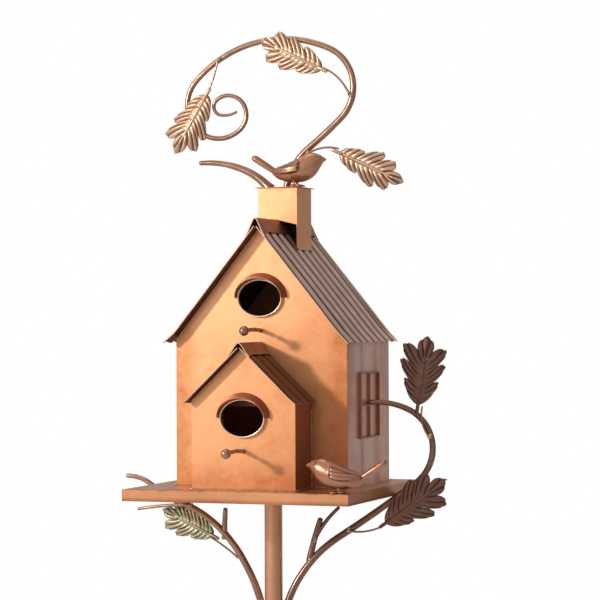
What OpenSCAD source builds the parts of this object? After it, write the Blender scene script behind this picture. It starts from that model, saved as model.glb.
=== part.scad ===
// Copper-finished birdhouse on a stake pole: a gabled house with a porch stands
// on a folded tray, with leafy scroll rods, two small birds and a ground fork.
// Units are millimetres. The origin is on the pole's axis at the ground line,
// +Z is up and the house faces -Y.

/* [House] */
// Width of the main house, across the gable
house_w = 192; // [160:1:240]
// Depth of the main house, front wall to back wall
house_d = 140; // [115:1:180]
// Height of the side walls
wall_h = 155.4; // [125:0.2:190]
// Slope of the main roof, in degrees
roof_angle = 51; // [40:0.5:58]
// How far the roof reaches past the front wall
front_overhang = 16; // [8:0.5:24]
// How far the roof reaches past the back wall
back_overhang = 13; // [6:0.5:20]
// How far the roof reaches past each side wall
eave_overhang = 4.6; // [3:0.1:10]
// Thickness of the sheet metal
sheet = 0.9; // [0.7:0.1:1.2]
// Width of the soldering foot along the walls
foot_w = 3.5; // [2.5:0.5:5]

/* [Porch] */
// Width of the porch
porch_w = 115; // [95:1:140]
// Depth of the porch, from its front to the house
porch_d = 52; // [42:1:65]
// How much lower the porch's side walls are than the house's
porch_lower = 63.4; // [50:0.2:78]
// Slope of the porch roof, in degrees
porch_roof_angle = 43.8; // [35:0.2:50]
// How far the porch roof reaches past its front wall
porch_overhang = 13; // [6:0.5:18]
// How far the porch roof reaches past each side wall
porch_eave = 4; // [2:0.2:8]

/* [Roof sheets] */
// Number of ribs in each main roof sheet
rib_count = 8; // [5:1:11]
// Height of the ribs of the main roof
rib_h = 2.4; // [1.2:0.2:3.2]
// Number of ribs in each porch roof sheet
porch_rib_count = 3; // [2:1:5]
// Height of the ribs of the porch roof
porch_rib_h = 1.2; // [0.6:0.2:2]
// How far each ridge cap reaches down the slope
cap_reach = 13.5; // [9:0.5:18]
// How much flatter a ridge cap is than its roof, in degrees
cap_flare = 2; // [0:0.5:5]

/* [Entrances] */
// Width of each oval entrance
entrance_w = 48; // [38:1:58]
// Height of each oval entrance
entrance_h = 38; // [30:1:46]
// Distance from the house's peak down to the middle of the upper entrance
upper_entrance_drop = 76; // [68:0.5:82]
// Distance from the porch's peak down to the middle of the lower entrance
lower_entrance_drop = 73.2; // [62:0.2:80]
// How far the rim of an entrance stands out of the wall
rim_out = 4; // [2:0.5:6]
// How far the hood over an entrance stands out of the wall
hood_out = 12; // [8:0.5:16]
// Length of each perch rod
perch_l = 48; // [35:1:60]
// Diameter of the perch rods
perch_d = 4.6; // [3.6:0.2:6]
// Diameter of the ball on a perch
perch_ball_d = 10.5; // [8:0.5:13]
// How far each perch is below the middle of its entrance
perch_drop = 34; // [28:1:36]

/* [Chimney] */
// Width of the chimney
chimney_w = 44.5; // [36:0.5:54]
// Depth of the chimney
chimney_d = 45; // [36:1:54]
// Height of the chimney's top above the roof ridge
chimney_rise = 36; // [26:1:46]
// Distance from the middle of the house to the middle of the chimney, to the back
chimney_back = 5; // [0:1:20]

/* [Tray] */
// How far the tray reaches past each side wall
side_margin = 28; // [20:1:34]
// How far the tray reaches past the porch
front_margin = 28.5; // [20:0.5:40]
// How far the tray reaches past the back wall
back_margin = 12.5; // [8:0.5:25]
// Depth of the tray's folded edge
tray_edge = 12; // [9:0.5:18]
// Width of the hem folded under the edge
tray_hem = 6; // [4:0.5:10]

/* [Windows] */
// Width of a window
window_w = 63; // [50:1:74]
// Height of a window
window_h = 70; // [56:1:84]
// Height of a window's middle above the tray
window_z = 84.5; // [70:0.5:90]
// How far a window's strips stand out of the wall
window_out = 3.4; // [2.4:0.2:5]

/* [Clean-out door] */
// Width of the doorway in the back wall
doorway_w = 90; // [70:1:110]
// Height of the doorway in the back wall
doorway_h = 80; // [60:1:95]
// Overlap of the door on the wall
door_lap = 6; // [4:0.5:9]
// Diameter of the hinge pin
hinge_pin_d = 3; // [2.4:0.2:4]
// Radial clearance of the hinge pin in the door's knuckles
hinge_clearance = 0.06; // [0.02:0.01:0.1]
// Length of the turn button
button_l = 34; // [26:1:44]

/* [Pole] */
// Outer diameter of the pole tubes
pole_d = 19.05; // [16:0.05:25.4]
// Wall of the pole tubes
pole_wall = 1.2; // [0.9:0.1:2]
// Length of each pole section, without its spigot
section_l = 300; // [240:5:450]
// Length of the spigot that enters the next section
spigot_l = 45; // [30:1:60]
// Radial clearance of a spigot in its socket
slip_clearance = 0.08; // [0.02:0.01:0.1]
// Outer diameter of the flange under the tray
flange_d = 72; // [60:1:90]
// Diameter of the circle of the flange screws
screw_circle = 50; // [42:1:58]
// Diameter of the flange screws
screw_d = 4; // [3:0.5:6]

/* [Ground fork] */
// Diameter of the centre spike
spike_d = 8; // [6:0.5:10]
// Depth of the spike's tip below the ground
spike_depth = 200; // [150:5:300]
// Diameter of the four prongs
prong_d = 6; // [5:0.5:8]
// Distance from the spike to each prong
prong_reach = 56; // [40:1:80]
// Depth of the prongs' tips below the ground
prong_depth = 165; // [120:5:250]

/* [Ornament] */
// Diameter of the scroll rod where it leaves the chimney
scroll_d = 7.6; // [6:0.2:9]
// Diameter of the branches where they leave the pole
branch_d = 8; // [6:0.2:10]
// Diameter of the leaf stems
stem_d = 2.4; // [1.8:0.2:3.2]
// Thickness of a leaf
leaf_t = 1.4; // [1:0.1:2]
// Length of each bird, beak to tail
bird_l = 86; // [70:1:100]

/* [Hidden] */
$fn = 48;
slack = 0.3;                    // gap between faces that slide past each other
past = 1;                       // how far a cutting shape runs past a face

// Main levels and outlines. The tray is centred on the pole.
spigot_d = pole_d - 2 * pole_wall - 2 * slip_clearance;
hub_d = 34;
hub_h = 22;
hub_top = 20;
point_l = 25;                   // length of the spike's point
tray_z = hub_top + 3 * section_l + 2 * slack + sheet;
tray_w = house_w + 2 * side_margin;
tray_d = front_margin + porch_d + house_d + back_margin;
porch_y = -tray_d / 2 + front_margin;
house_y = porch_y + porch_d;
back_y = house_y + house_d;
roof_slope = tan(roof_angle);
porch_slope = tan(porch_roof_angle);
gable_h = wall_h + house_w / 2 * roof_slope;
porch_wall_h = wall_h - porch_lower;
porch_gable_h = porch_wall_h + porch_w / 2 * porch_slope;
upper_entrance_z = gable_h - upper_entrance_drop;
lower_entrance_z = porch_gable_h - lower_entrance_drop;
roof_t = rib_h + sheet;
porch_roof_t = porch_rib_h + sheet;
cap_lift = 0.6;                 // gap between a roof's apex and its ridge cap
cap_angle = roof_angle - cap_flare;
porch_cap_angle = porch_roof_angle - cap_flare;
roof_top = gable_h + roof_t / cos(roof_angle);
porch_roof_top = porch_gable_h + porch_roof_t / cos(porch_roof_angle);
ridge_z = roof_top + cap_lift + sheet / cos(cap_angle);
porch_ridge_z = porch_roof_top + cap_lift + sheet / cos(porch_cap_angle);
chimney_y = (house_y + back_y) / 2 + chimney_back;
chimney_top = ridge_z + chimney_rise;
window_y = house_y + house_d / 2 - 3;
scroll_y = chimney_y;

// Hinge and latch of the clean-out door, on the back wall.
knuckle_r = hinge_pin_d / 2 + 1.1;
hinge_y = back_y + knuckle_r + slack;
door_w = doorway_w + 2 * door_lap;
door_h = doorway_h + 2 * door_lap;
door_z = 14;
door_gap = 0.5;
hinge_inset = 4;
hinge_margin = 12;              // from each end of the door to its nearer hinge
hinge_x = -door_w / 2 - hinge_inset;
knuckle_l = 8;
hinge_z = [door_z + hinge_margin, door_z + door_h - hinge_margin - 3 * knuckle_l];
button_w = 10;
button_t = 1.4;
stud_x = door_w / 2 + button_w / 2 + 3;
stud_z = door_z + door_h / 2;
stud_d = 4;
button_y = door_gap + sheet + 0.6;

// Rods are chains of [length, turn in degrees, share of the root diameter].
scroll_path = [[52, -42, 1], [47, 5, 0.96], [90, 112, 0.92], [169, 72, 0.86],
    [113, 173, 0.78], [66, 176, 0.7], [22, 133, 0.62], [19, 39, 0.54]];
twig_path = [[30, 22, 1.25], [30, 16, 1.05], [29, 14, 0.85]];
twig_x = 5.2 - chimney_w / 2;

// The branches reach from the pole to the side walls. Both were bent for these two sizes,
// and the second piece of each is the one that gets longer when the walls move out.
bent_for_house_w = 192;
bent_for_pole_d = 19.05;
branch_turn = 17;               // turn of the right branch's plane about the pole
branch_sink = 2;                // how deep the branches' roots are in the pole's wall
pole_shift = (pole_d - bent_for_pole_d) / 2;
wall_shift = (house_w - bent_for_house_w) / 2;
right_shift = wall_shift / cos(branch_turn);
right_more = right_shift - pole_shift;
left_more = wall_shift - pole_shift;
right_run = 35;                 // slope of each branch's second piece, in degrees
left_run = 31.5;
right_path = [[135, -57, 1], [100 + right_more / cos(right_run), 4, 0.92], [96, 119, 0.86],
    [40, 28, 0.8]];
left_path = [[104, 32, 1], [95 + left_more / cos(left_run), 41, 0.9], [7, -42, 0.84],
    [44, 54, 0.74]];
right_drop = right_more * tan(right_run);
left_drop = left_more * tan(left_run);
right_root_z = -170 - right_drop; // where the branches leave the pole, from the tray
left_root_z = -160 - left_drop;

copper = [0.80, 0.50, 0.34];
bright_copper = [0.90, 0.62, 0.44];
dark_copper = [0.50, 0.33, 0.26];
leaf_copper = [0.68, 0.47, 0.34];
steel = [0.55, 0.55, 0.56];

// ---- Shared shapes ----

// Everything that stands on the tray is drawn from its top face.
module on_tray() { translate([0, 0, tray_z]) children(); }

// A plate in the XZ plane, whose front face is at y.
module upright(y, thick) {
    translate([0, y + thick, 0]) rotate([90, 0, 0])
        linear_extrude(height = thick) children();
}

// Outline of a gable wall.
module gable_outline(w, h, slope) {
    polygon([[-w / 2, 0], [w / 2, 0], [w / 2, h], [0, h + w / 2 * slope], [-w / 2, h]]);
}

// An oval prism along Y, centred on height z, its front face at y.
module oval(w, h, z, y, thick) {
    translate([0, y + thick, z]) scale([w / h, 1, 1]) rotate([90, 0, 0])
        cylinder(d = h, h = thick, $fn = 72);
}

// Height of a ribbed sheet's upper face at a place along its ribs' row.
function rib_at(u, count, h) = h / 2 * (1 - cos(360 * count * u));

// A ribbed sheet that lies on a slope, from the ridge down to the eave.
// The sheet's lowest face is on the line from [0, top] to the eave.
module ribbed_slope(len_y, run, angle, top, y, count, h) {
    steps = count * 10;
    line = [for (i = [0:steps]) [i / steps, rib_at(i / steps, count, h)]];
    upper = [for (p = line) [p[0] * len_y, p[1] + sheet]];
    lower = [for (i = [steps:-1:0]) [line[i][0] * len_y, line[i][1]]];
    slope_l = run / cos(angle);
    translate([0, y, top]) rotate([0, angle, 0])
        rotate([90, 0, 90]) linear_extrude(height = slope_l)
            polygon(concat(upper, lower));
}

// A folded strip over a ridge.
module ridge_strip(len_y, reach, angle, top, y) {
    drop = sheet / cos(angle);
    run = reach * cos(angle);
    fall = reach * sin(angle);
    edge = [sheet * sin(angle), -sheet * cos(angle)];
    translate([0, y + len_y, top]) rotate([90, 0, 0]) linear_extrude(height = len_y)
        polygon([[-run, -fall], [0, 0], [run, -fall], [run - edge[0], -fall + edge[1]],
            [0, -drop], [-run + edge[0], -fall + edge[1]]]);
}

// A rod bent in the XZ plane, which starts along +X.
module bent_rod(path, d, i = 0) {
    if (i < len(path)) {
        len_i = path[i][0];
        turn = path[i][1];
        r = len_i / (abs(turn) * PI / 180);
        side = sign(turn);
        mirror([0, 0, side < 0 ? 1 : 0]) translate([0, 0, r]) rotate([90, 0, 0])
            rotate([0, 0, -90]) rotate_extrude(angle = abs(turn), $fn = 96)
                translate([r, 0]) circle(d = d * path[i][2], $fn = 24);
        translate([r * sin(abs(turn)), 0, side * r * (1 - cos(turn))])
            rotate([0, -turn, 0]) bent_rod(path, d, i + 1);
    }
}

// A bent rod that starts at [x, z] in the plane at y, and heads at an angle.
module rod_at(x, z, y, heading, path, d) {
    translate([x, y, z]) rotate([0, -heading, 0]) bent_rod(path, d);
}

// Half width of a lobed leaf at a share t of its length.
function leaf_half(t, w) = w / 2 * pow(sin(180 * pow(t, 1.3)), 0.7)
    * (0.86 + 0.14 * cos(360 * 4.5 * t + 180));

// A flat lobed leaf, its base at the origin and its tip along +X, in the XZ plane.
module leaf(l, w) {
    steps = 40;
    upper = [for (i = [0:steps]) [l * i / steps, leaf_half(i / steps, w) + 0.5]];
    lower = [for (i = [steps:-1:0]) [l * i / steps, -leaf_half(i / steps, w) - 0.5]];
    rotate([90, 0, 0]) linear_extrude(height = leaf_t, center = true)
        polygon(concat(upper, lower));
    rotate([0, 90, 0]) translate([0, 0, -6]) cylinder(d = stem_d + 0.8, h = 10, $fn = 24);
    rotate([0, 90, 0]) cylinder(d1 = stem_d, d2 = stem_d / 2, h = l * 0.9, $fn = 24);
}

module leaf_at(x, z, y, heading, l, w) {
    translate([x, y, z]) rotate([0, -heading, 0]) leaf(l, w);
}

// A small standing bird that faces +X, its feet at the origin.
module bird() {
    scale(bird_l / 86) {
        translate([3, 0, 18]) rotate([0, 68, 0]) rotate_extrude() polygon([[0, -26],
            [3.5, -25], [8, -18], [11.8, -9], [13.2, 0], [12.4, 8], [10, 15], [0, 24]]);
        translate([19, 0, 27.5]) sphere(d = 18.5);
        translate([26, 0, 28]) rotate([0, 94, 0]) cylinder(d1 = 6, d2 = 0.8, h = 11.5);
        translate([-14, 0, 11]) rotate([0, -146, 0]) tail();
        for (side = [-1, 1]) translate([2, side * 5, 0]) {
            cylinder(d = 2.2, h = 9, $fn = 24);
            translate([-3, -1.5, 0]) cube([11, 3, 1.6]);
        }
    }
}

// Tail of a bird: a flat plate that widens to its end.
module tail() {
    translate([0, 0, -1.2]) linear_extrude(height = 2.4)
        polygon([[0, -3.5], [40, -5.5], [40, 5.5], [0, 3.5]]);
}

// ---- Ground fork and pole ----

module ground_spike() {
    color(steel) translate([0, 0, -spike_depth]) {
        cylinder(d1 = 1, d2 = spike_d, h = point_l);
        translate([0, 0, point_l])
            cylinder(d = spike_d, h = spike_depth - point_l + hub_top - hub_h);
    }
}

module fork_hub() {
    color(steel) {
        translate([0, 0, hub_top - hub_h]) cylinder(d = hub_d, h = hub_h);
        translate([0, 0, hub_top]) cylinder(d = spigot_d, h = spigot_l);
    }
}

module fork_prongs() {
    bend_r = 14;
    arm_z = hub_top - hub_h / 2;
    arm_l = prong_reach - bend_r - hub_d / 2;
    drop = prong_depth + arm_z - bend_r;
    tip_h = 18;
    color(steel) for (a = [45:90:315]) rotate([0, 0, a]) {
        translate([hub_d / 2 - 1, 0, arm_z]) rotate([0, 90, 0])
            cylinder(d = prong_d, h = arm_l + 1);
        translate([prong_reach - bend_r, 0, arm_z - bend_r]) rotate([90, 0, 0])
            rotate_extrude(angle = 90) translate([bend_r, 0]) circle(d = prong_d);
        translate([prong_reach, 0, arm_z - bend_r - drop + tip_h])
            cylinder(d = prong_d, h = drop - tip_h);
        translate([prong_reach, 0, arm_z - bend_r - drop])
            cylinder(d1 = 1, d2 = prong_d, h = tip_h);
    }
}

// A pole section with a necked spigot at its top.
module pole_section(z) {
    r = pole_d / 2;
    neck = spigot_d / 2;
    swage = 3;
    inner = neck - pole_wall;
    translate([0, 0, z]) rotate_extrude(convexity = 4) polygon([
        [r - pole_wall, 0], [r, 0], [r, section_l - swage], [neck, section_l],
        [neck, section_l + spigot_l - 1], [neck - 0.5, section_l + spigot_l],
        [inner, section_l + spigot_l], [inner, section_l - swage - 2],
        [r - pole_wall, section_l - swage - 6]]);
}

module lower_pole() { color(copper) pole_section(hub_top); }

module middle_pole() { color(copper) pole_section(hub_top + section_l); }

// The top section turns on the middle section's spigot.
module upper_pole() {
    color(copper) translate([0, 0, hub_top + 2 * section_l + slack]) difference() {
        cylinder(d = pole_d, h = section_l + slack);
        translate([0, 0, -past])
            cylinder(d = pole_d - 2 * pole_wall, h = section_l + slack + 2 * past);
    }
}

module screw_places() {
    for (a = [45:90:315]) rotate([0, 0, a]) translate([screw_circle / 2, 0, 0]) children();
}

flange_t = 2;
screw_hole_d = screw_d + 0.4;

module pole_flange() {
    color(copper) on_tray() translate([0, 0, -sheet - flange_t]) difference() {
        union() {
            cylinder(d = flange_d, h = flange_t);
            translate([0, 0, -7]) cylinder(d = pole_d + 5, h = 7);
        }
        translate([0, 0, -8]) cylinder(d = pole_d, h = flange_t + 9);
        screw_places() translate([0, 0, -past]) cylinder(d = screw_hole_d, h = flange_t + 2 * past);
    }
}

module flange_screws() {
    color(bright_copper) on_tray() screw_places() {
        cylinder(d = 2 * screw_d, h = 0.6 * screw_d);
        translate([0, 0, -9]) cylinder(d = screw_d, h = 9);
    }
}

module flange_nuts() {
    nut_h = 3.2;
    color(steel) on_tray() screw_places()
        translate([0, 0, -sheet - flange_t - nut_h]) difference() {
            cylinder(d = 1.9 * screw_d, h = nut_h, $fn = 6);
            translate([0, 0, -past]) cylinder(d = screw_d, h = nut_h + 2 * past);
        }
}

// ---- Tray ----

module tray() {
    inner_w = tray_w - 2 * sheet;
    inner_d = tray_d - 2 * sheet;
    open_w = inner_w - 2 * tray_hem;
    open_d = inner_d - 2 * tray_hem;
    color(copper) on_tray() difference() {
        translate([-tray_w / 2, -tray_d / 2, -tray_edge]) cube([tray_w, tray_d, tray_edge]);
        translate([-inner_w / 2, -inner_d / 2, sheet - tray_edge])
            cube([inner_w, inner_d, tray_edge - 2 * sheet]);
        translate([-open_w / 2, -open_d / 2, -tray_edge - past])
            cube([open_w, open_d, sheet + 2 * past]);
        screw_places() translate([0, 0, -sheet - past])
            cylinder(d = screw_hole_d, h = sheet + 2 * past);
    }
}

// ---- Main house ----

// The opening between the house and the porch.
module passage() {
    jamb = 15;
    sill = 6;
    head = 8;
    w = porch_w - 2 * jamb;
    translate([-w / 2, house_y - past, sill])
        cube([w, sheet + 2 * past, porch_wall_h - sill - head]);
}

module front_wall() {
    color(bright_copper) on_tray() difference() {
        union() {
            upright(house_y, sheet) gable_outline(house_w, wall_h, roof_slope);
            for (side = [-1, 1]) {
                w = (house_w - porch_w) / 2;
                translate([side * (porch_w + w) / 2 - w / 2, house_y - foot_w, 0])
                    cube([w, foot_w, sheet]);
            }
        }
        oval(entrance_w, entrance_h, upper_entrance_z, house_y - past, sheet + 2 * past);
        perch_hole(upper_entrance_z, house_y);
        passage();
    }
}

module back_wall() {
    color(bright_copper) on_tray() difference() {
        upright(back_y - sheet, sheet) gable_outline(house_w, wall_h, roof_slope);
        translate([-doorway_w / 2, back_y - sheet - past, door_z + door_lap])
            cube([doorway_w, sheet + 2 * past, doorway_h]);
    }
}

module side_wall(side) {
    x = side * (house_w / 2 - sheet / 2);
    inner_d = house_d - 2 * sheet;
    color(dark_copper) on_tray() {
        translate([x - sheet / 2, house_y + sheet, 0]) cube([sheet, inner_d, wall_h - sheet]);
        translate([side > 0 ? house_w / 2 - sheet : -house_w / 2 - foot_w, house_y + sheet, 0])
            cube([foot_w + sheet, inner_d, sheet]);
    }
}

module left_wall() { side_wall(-1); }

module right_wall() { side_wall(1); }

module main_roof_sheet() {
    on_tray() ribbed_slope(house_d + front_overhang + back_overhang,
        house_w / 2 + eave_overhang, roof_angle, gable_h,
        house_y - front_overhang, rib_count, rib_h);
}

module roof_left() { color(dark_copper) mirror([1, 0, 0]) main_roof_sheet(); }

module roof_right() { color(dark_copper) main_roof_sheet(); }

module ridge_cap() {
    color(dark_copper) on_tray()
        ridge_strip(house_d + front_overhang + back_overhang, cap_reach, cap_angle,
            ridge_z, house_y - front_overhang);
}

// The chimney's sides reach down to the roof, and its front and back stop short
// of it in a shallow notch over the ridge.
module chimney() {
    side_z = roof_top - chimney_w / 2 * roof_slope;
    wall_z = side_z + sheet + roof_slope * sheet / 2;
    notch_z = ridge_z + 0.4;
    notch_fall = 5;
    inner_w = chimney_w - 2 * sheet;
    inner_d = chimney_d - 2 * sheet;
    half = inner_w / 2;
    flange = 3;
    lift = flange * sin(roof_angle);
    color(copper) on_tray() translate([0, chimney_y, 0]) {
        difference() {
            translate([-chimney_w / 2, -chimney_d / 2, wall_z])
                cube([chimney_w, chimney_d, chimney_top - sheet - wall_z]);
            translate([-inner_w / 2, -inner_d / 2, side_z - past])
                cube([inner_w, inner_d, chimney_top - side_z + 2 * past]);
            translate([0, chimney_d / 2 + past, 0]) rotate([90, 0, 0])
                linear_extrude(height = chimney_d + 2 * past)
                    polygon([[-half, side_z - past], [-half, notch_z - notch_fall], [0, notch_z],
                        [half, notch_z - notch_fall], [half, side_z - past]]);
        }
        for (side = [0, 1]) mirror([side, 0, 0])
            translate([chimney_w / 2 - sheet, chimney_d / 2, side_z])
                rotate([90, 0, 0]) linear_extrude(height = chimney_d)
                    polygon([[0, roof_slope * sheet], [0, 2 * sheet + roof_slope * sheet],
                        [sheet + flange * cos(roof_angle), 2 * sheet - lift],
                        [sheet + flange * cos(roof_angle), -lift]]);
    }
}

module chimney_cap() {
    lip = 2.5;
    color(copper) on_tray()
        translate([-chimney_w / 2 - lip, chimney_y - chimney_d / 2 - lip, chimney_top - sheet])
            cube([chimney_w + 2 * lip, chimney_d + 2 * lip, sheet]);
}

// ---- Porch ----

module porch_front_wall() {
    color(bright_copper) on_tray() difference() {
        union() {
            upright(porch_y, sheet) gable_outline(porch_w, porch_wall_h, porch_slope);
            translate([-porch_w / 2, porch_y - foot_w, 0]) cube([porch_w, foot_w, sheet]);
        }
        oval(entrance_w, entrance_h, lower_entrance_z, porch_y - past, sheet + 2 * past);
        perch_hole(lower_entrance_z, porch_y);
    }
}

module porch_side_wall(side) {
    x = side * (porch_w / 2 - sheet / 2);
    depth = porch_d - sheet;
    color(dark_copper) on_tray() {
        translate([x - sheet / 2, porch_y + sheet, 0]) cube([sheet, depth, porch_wall_h - sheet]);
        translate([side > 0 ? porch_w / 2 - sheet : -porch_w / 2 - foot_w, porch_y + sheet, 0])
            cube([foot_w + sheet, depth - foot_w, sheet]);
    }
}

module porch_left_wall() { porch_side_wall(-1); }

module porch_right_wall() { porch_side_wall(1); }

module porch_roof_sheet() {
    on_tray() ribbed_slope(porch_d + porch_overhang, porch_w / 2 + porch_eave,
        porch_roof_angle, porch_gable_h, porch_y - porch_overhang, porch_rib_count,
        porch_rib_h);
}

module porch_roof_left() { color(dark_copper) mirror([1, 0, 0]) porch_roof_sheet(); }

module porch_roof_right() { color(dark_copper) porch_roof_sheet(); }

module porch_ridge_cap() {
    color(dark_copper) on_tray()
        ridge_strip(porch_d + porch_overhang, cap_reach, porch_cap_angle,
            porch_ridge_z, porch_y - porch_overhang);
}

// ---- Entrances ----

rim_t = 1.2;
hood_t = 0.9;
hood_spread_w = 12;             // how much wider and taller a hood is on its wall
hood_spread_h = 15;             // than the entrance below it

module rim(z, y) {
    color(bright_copper) on_tray() difference() {
        oval(entrance_w + 2 * rim_t, entrance_h + 2 * rim_t, z, y - rim_out, rim_out);
        oval(entrance_w, entrance_h, z, y - rim_out - past, rim_out + 2 * past);
    }
}

// Flared solid of a hood: a large oval on the wall and a smaller one in front.
module hood_flare(grow) {
    wall_w = entrance_w + hood_spread_w + grow;
    wall_h2 = entrance_h + hood_spread_h + grow;
    front_w = entrance_w + 2 * rim_t + 2 * slack + 2 * hood_t + grow;
    front_h = entrance_h + 2 * rim_t + 2 * slack + 2 * hood_t + grow;
    thin = 0.01;
    hull() {
        oval(wall_w, wall_h2, 0, -thin, thin);
        oval(front_w, front_h, 0, -hood_out, thin);
    }
}

// The hood is drawn at the origin, and cut a little above its middle.
module hood(z, y) {
    cut_z = 0.4;
    color(dark_copper) on_tray() translate([0, y, z]) difference() {
        hood_flare(0);
        hood_flare(-2 * hood_t);
        oval(entrance_w, entrance_h, 0, -hood_out - past, hood_out + 2 * past);
        translate([-entrance_w, -hood_out - past, cut_z - 2 * entrance_h])
            cube([2 * entrance_w, hood_out + 2 * past, 2 * entrance_h]);
    }
}

// A perch is pushed through a hole in its wall and soldered there.
module perch_hole(z, y) {
    translate([0, y + sheet + past, z - perch_drop]) rotate([90, 0, 0])
        cylinder(d = perch_d, h = sheet + 2 * past);
}

module perch(z, y) {
    tail_l = 3;
    color(bright_copper) on_tray() translate([0, y + tail_l, z - perch_drop]) {
        rotate([90, 0, 0]) cylinder(d = perch_d, h = perch_l + tail_l);
        translate([0, -perch_l - tail_l, 0]) sphere(d = perch_ball_d);
    }
}

module upper_rim() { rim(upper_entrance_z, house_y); }

module upper_hood() { hood(upper_entrance_z, house_y); }

module upper_perch() { perch(upper_entrance_z, house_y); }

module lower_rim() { rim(lower_entrance_z, porch_y); }

module lower_hood() { hood(lower_entrance_z, porch_y); }

module lower_perch() { perch(lower_entrance_z, porch_y); }

// ---- Windows ----

strip_t = 1.6;

module window_frame() {
    translate([house_w / 2, window_y, window_z]) difference() {
        translate([0, -window_w / 2, -window_h / 2]) cube([window_out, window_w, window_h]);
        translate([-past, -window_w / 2 + strip_t, -window_h / 2 + strip_t])
            cube([window_out + 2 * past, window_w - 2 * strip_t, window_h - 2 * strip_t]);
    }
}

module window_bars() {
    depth = window_out - 0.4;
    translate([house_w / 2, window_y, window_z]) {
        translate([0, -strip_t / 2, -window_h / 2 + strip_t])
            cube([depth, strip_t, window_h - 2 * strip_t]);
        translate([0, -window_w / 2 + strip_t, -strip_t / 2])
            cube([depth, window_w - 2 * strip_t, strip_t]);
    }
}

module right_window_frame() { color(dark_copper) on_tray() window_frame(); }

module right_window_bars() { color(dark_copper) on_tray() window_bars(); }

module left_window_frame() {
    color(dark_copper) on_tray() mirror([1, 0, 0]) window_frame();
}

module left_window_bars() {
    color(dark_copper) on_tray() mirror([1, 0, 0]) window_bars();
}

// ---- Clean-out door, its hinges and its turn button ----

// Knuckles of a hinge: the wall keeps the outer two of three, the door the middle.
module knuckles(z, rows, bore_r) {
    for (i = rows) {
        trim = i == 1 ? 0.2 : 0;
        translate([hinge_x, hinge_y, z + i * knuckle_l + trim]) difference() {
            cylinder(r = knuckle_r, h = knuckle_l - 2 * trim);
            translate([0, 0, -past]) cylinder(r = bore_r, h = knuckle_l + 2 * past);
        }
    }
}

module wall_hinge_leaf() {
    leaf_w = 12;
    bore_r = hinge_pin_d / 2;
    color(copper) on_tray() for (z = hinge_z) {
        knuckles(z, [0, 2], bore_r);
        for (i = [0, 2]) difference() {
            translate([hinge_x - leaf_w, back_y, z + i * knuckle_l])
                cube([leaf_w, sheet, knuckle_l]);
            translate([hinge_x, hinge_y, z + i * knuckle_l - past])
                cylinder(r = bore_r, h = knuckle_l + 2 * past);
        }
    }
}

module hinge_pin() {
    head = 1.2;
    color(bright_copper) on_tray() for (z = hinge_z) translate([hinge_x, hinge_y, z]) {
        cylinder(d = hinge_pin_d, h = 3 * knuckle_l);
        translate([0, 0, 3 * knuckle_l]) cylinder(d = hinge_pin_d + 1.6, h = head);
    }
}

module door_hinge_leaf() {
    leaf_w = 16;
    bore_r = hinge_pin_d / 2 + hinge_clearance;
    y = back_y + door_gap + sheet;
    color(copper) on_tray() for (z = hinge_z) {
        knuckles(z, [1], bore_r);
        difference() {
            translate([hinge_x, y, z + knuckle_l + 0.2])
                cube([leaf_w + hinge_inset, sheet, knuckle_l - 0.4]);
            translate([hinge_x, hinge_y, z + knuckle_l - past])
                cylinder(r = bore_r, h = knuckle_l + 2 * past);
        }
    }
}

module cleanout_door() {
    color(bright_copper) on_tray()
        translate([-door_w / 2, back_y + door_gap, door_z]) cube([door_w, sheet, door_h]);
}

module button_stud() {
    head_t = 1.4;
    color(bright_copper) on_tray() translate([stud_x, back_y, stud_z]) rotate([-90, 0, 0]) {
        cylinder(d = stud_d + 4, h = button_y - 0.1);
        cylinder(d = stud_d, h = button_y + button_t + 0.1);
        translate([0, 0, button_y + button_t + 0.1]) cylinder(d = stud_d + 3, h = head_t);
    }
}

// The button is upright at rest, clear of the door.
module turn_button() {
    bore_d = stud_d + 0.12;
    straight = button_l - button_w;
    color(copper) on_tray() translate([stud_x, back_y + button_y, stud_z]) rotate([-90, 0, 0])
        difference() {
            union() {
                for (s = [-1, 1]) translate([0, s * straight / 2, 0])
                    cylinder(d = button_w, h = button_t);
                translate([-button_w / 2, -straight / 2, 0]) cube([button_w, straight, button_t]);
            }
            translate([0, 0, -past]) cylinder(d = bore_d, h = button_t + 2 * past);
        }
}

// ---- Scroll, branches, leaves and birds ----

// Leaves and their stems lie in front of the rod that carries them. Their places are
// those of the scroll as it was first bent, on a chimney of this height.
bent_for_chimney_top = 317.5;
leaf_y = scroll_y - scroll_d / 2 - stem_d / 2;
branch_leaf_y = -branch_d / 2 - stem_d / 2 - leaf_t / 2;
stem_y = -branch_d / 2;
stem_top = chimney_top - bent_for_chimney_top;

module top_scroll() {
    color(copper) on_tray() rod_at(2, chimney_top, scroll_y, 80, scroll_path, scroll_d);
}

module chimney_twig() {
    color(copper) on_tray() rod_at(twig_x, chimney_top, scroll_y, 131, twig_path, scroll_d);
}

module scroll_leaf_stems() {
    color(copper) on_tray() translate([0, 0, stem_top]) {
        rod_at(-75, 458, leaf_y, 256, [[39, -10, 1]], stem_d);
        rod_at(73, 421, leaf_y, 118, [[38, 40, 1]], stem_d);
        rod_at(28, 354, leaf_y, 30, [[36, -45, 1]], stem_d);
    }
}

module scroll_leaf_left() {
    color(leaf_copper) on_tray() translate([0, 0, stem_top])
        leaf_at(-88, 421, leaf_y, 238, 70, 46);
}

module scroll_leaf_top() {
    color(leaf_copper) on_tray() translate([0, 0, stem_top])
        leaf_at(44, 444, leaf_y, 154, 78, 40);
}

module scroll_leaf_right() {
    color(leaf_copper) on_tray() translate([0, 0, stem_top])
        leaf_at(63, 354, leaf_y, -25, 82, 38);
}

module chimney_bird() {
    color(dark_copper) on_tray() translate([17, chimney_y - 18, chimney_top]) bird();
}

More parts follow.
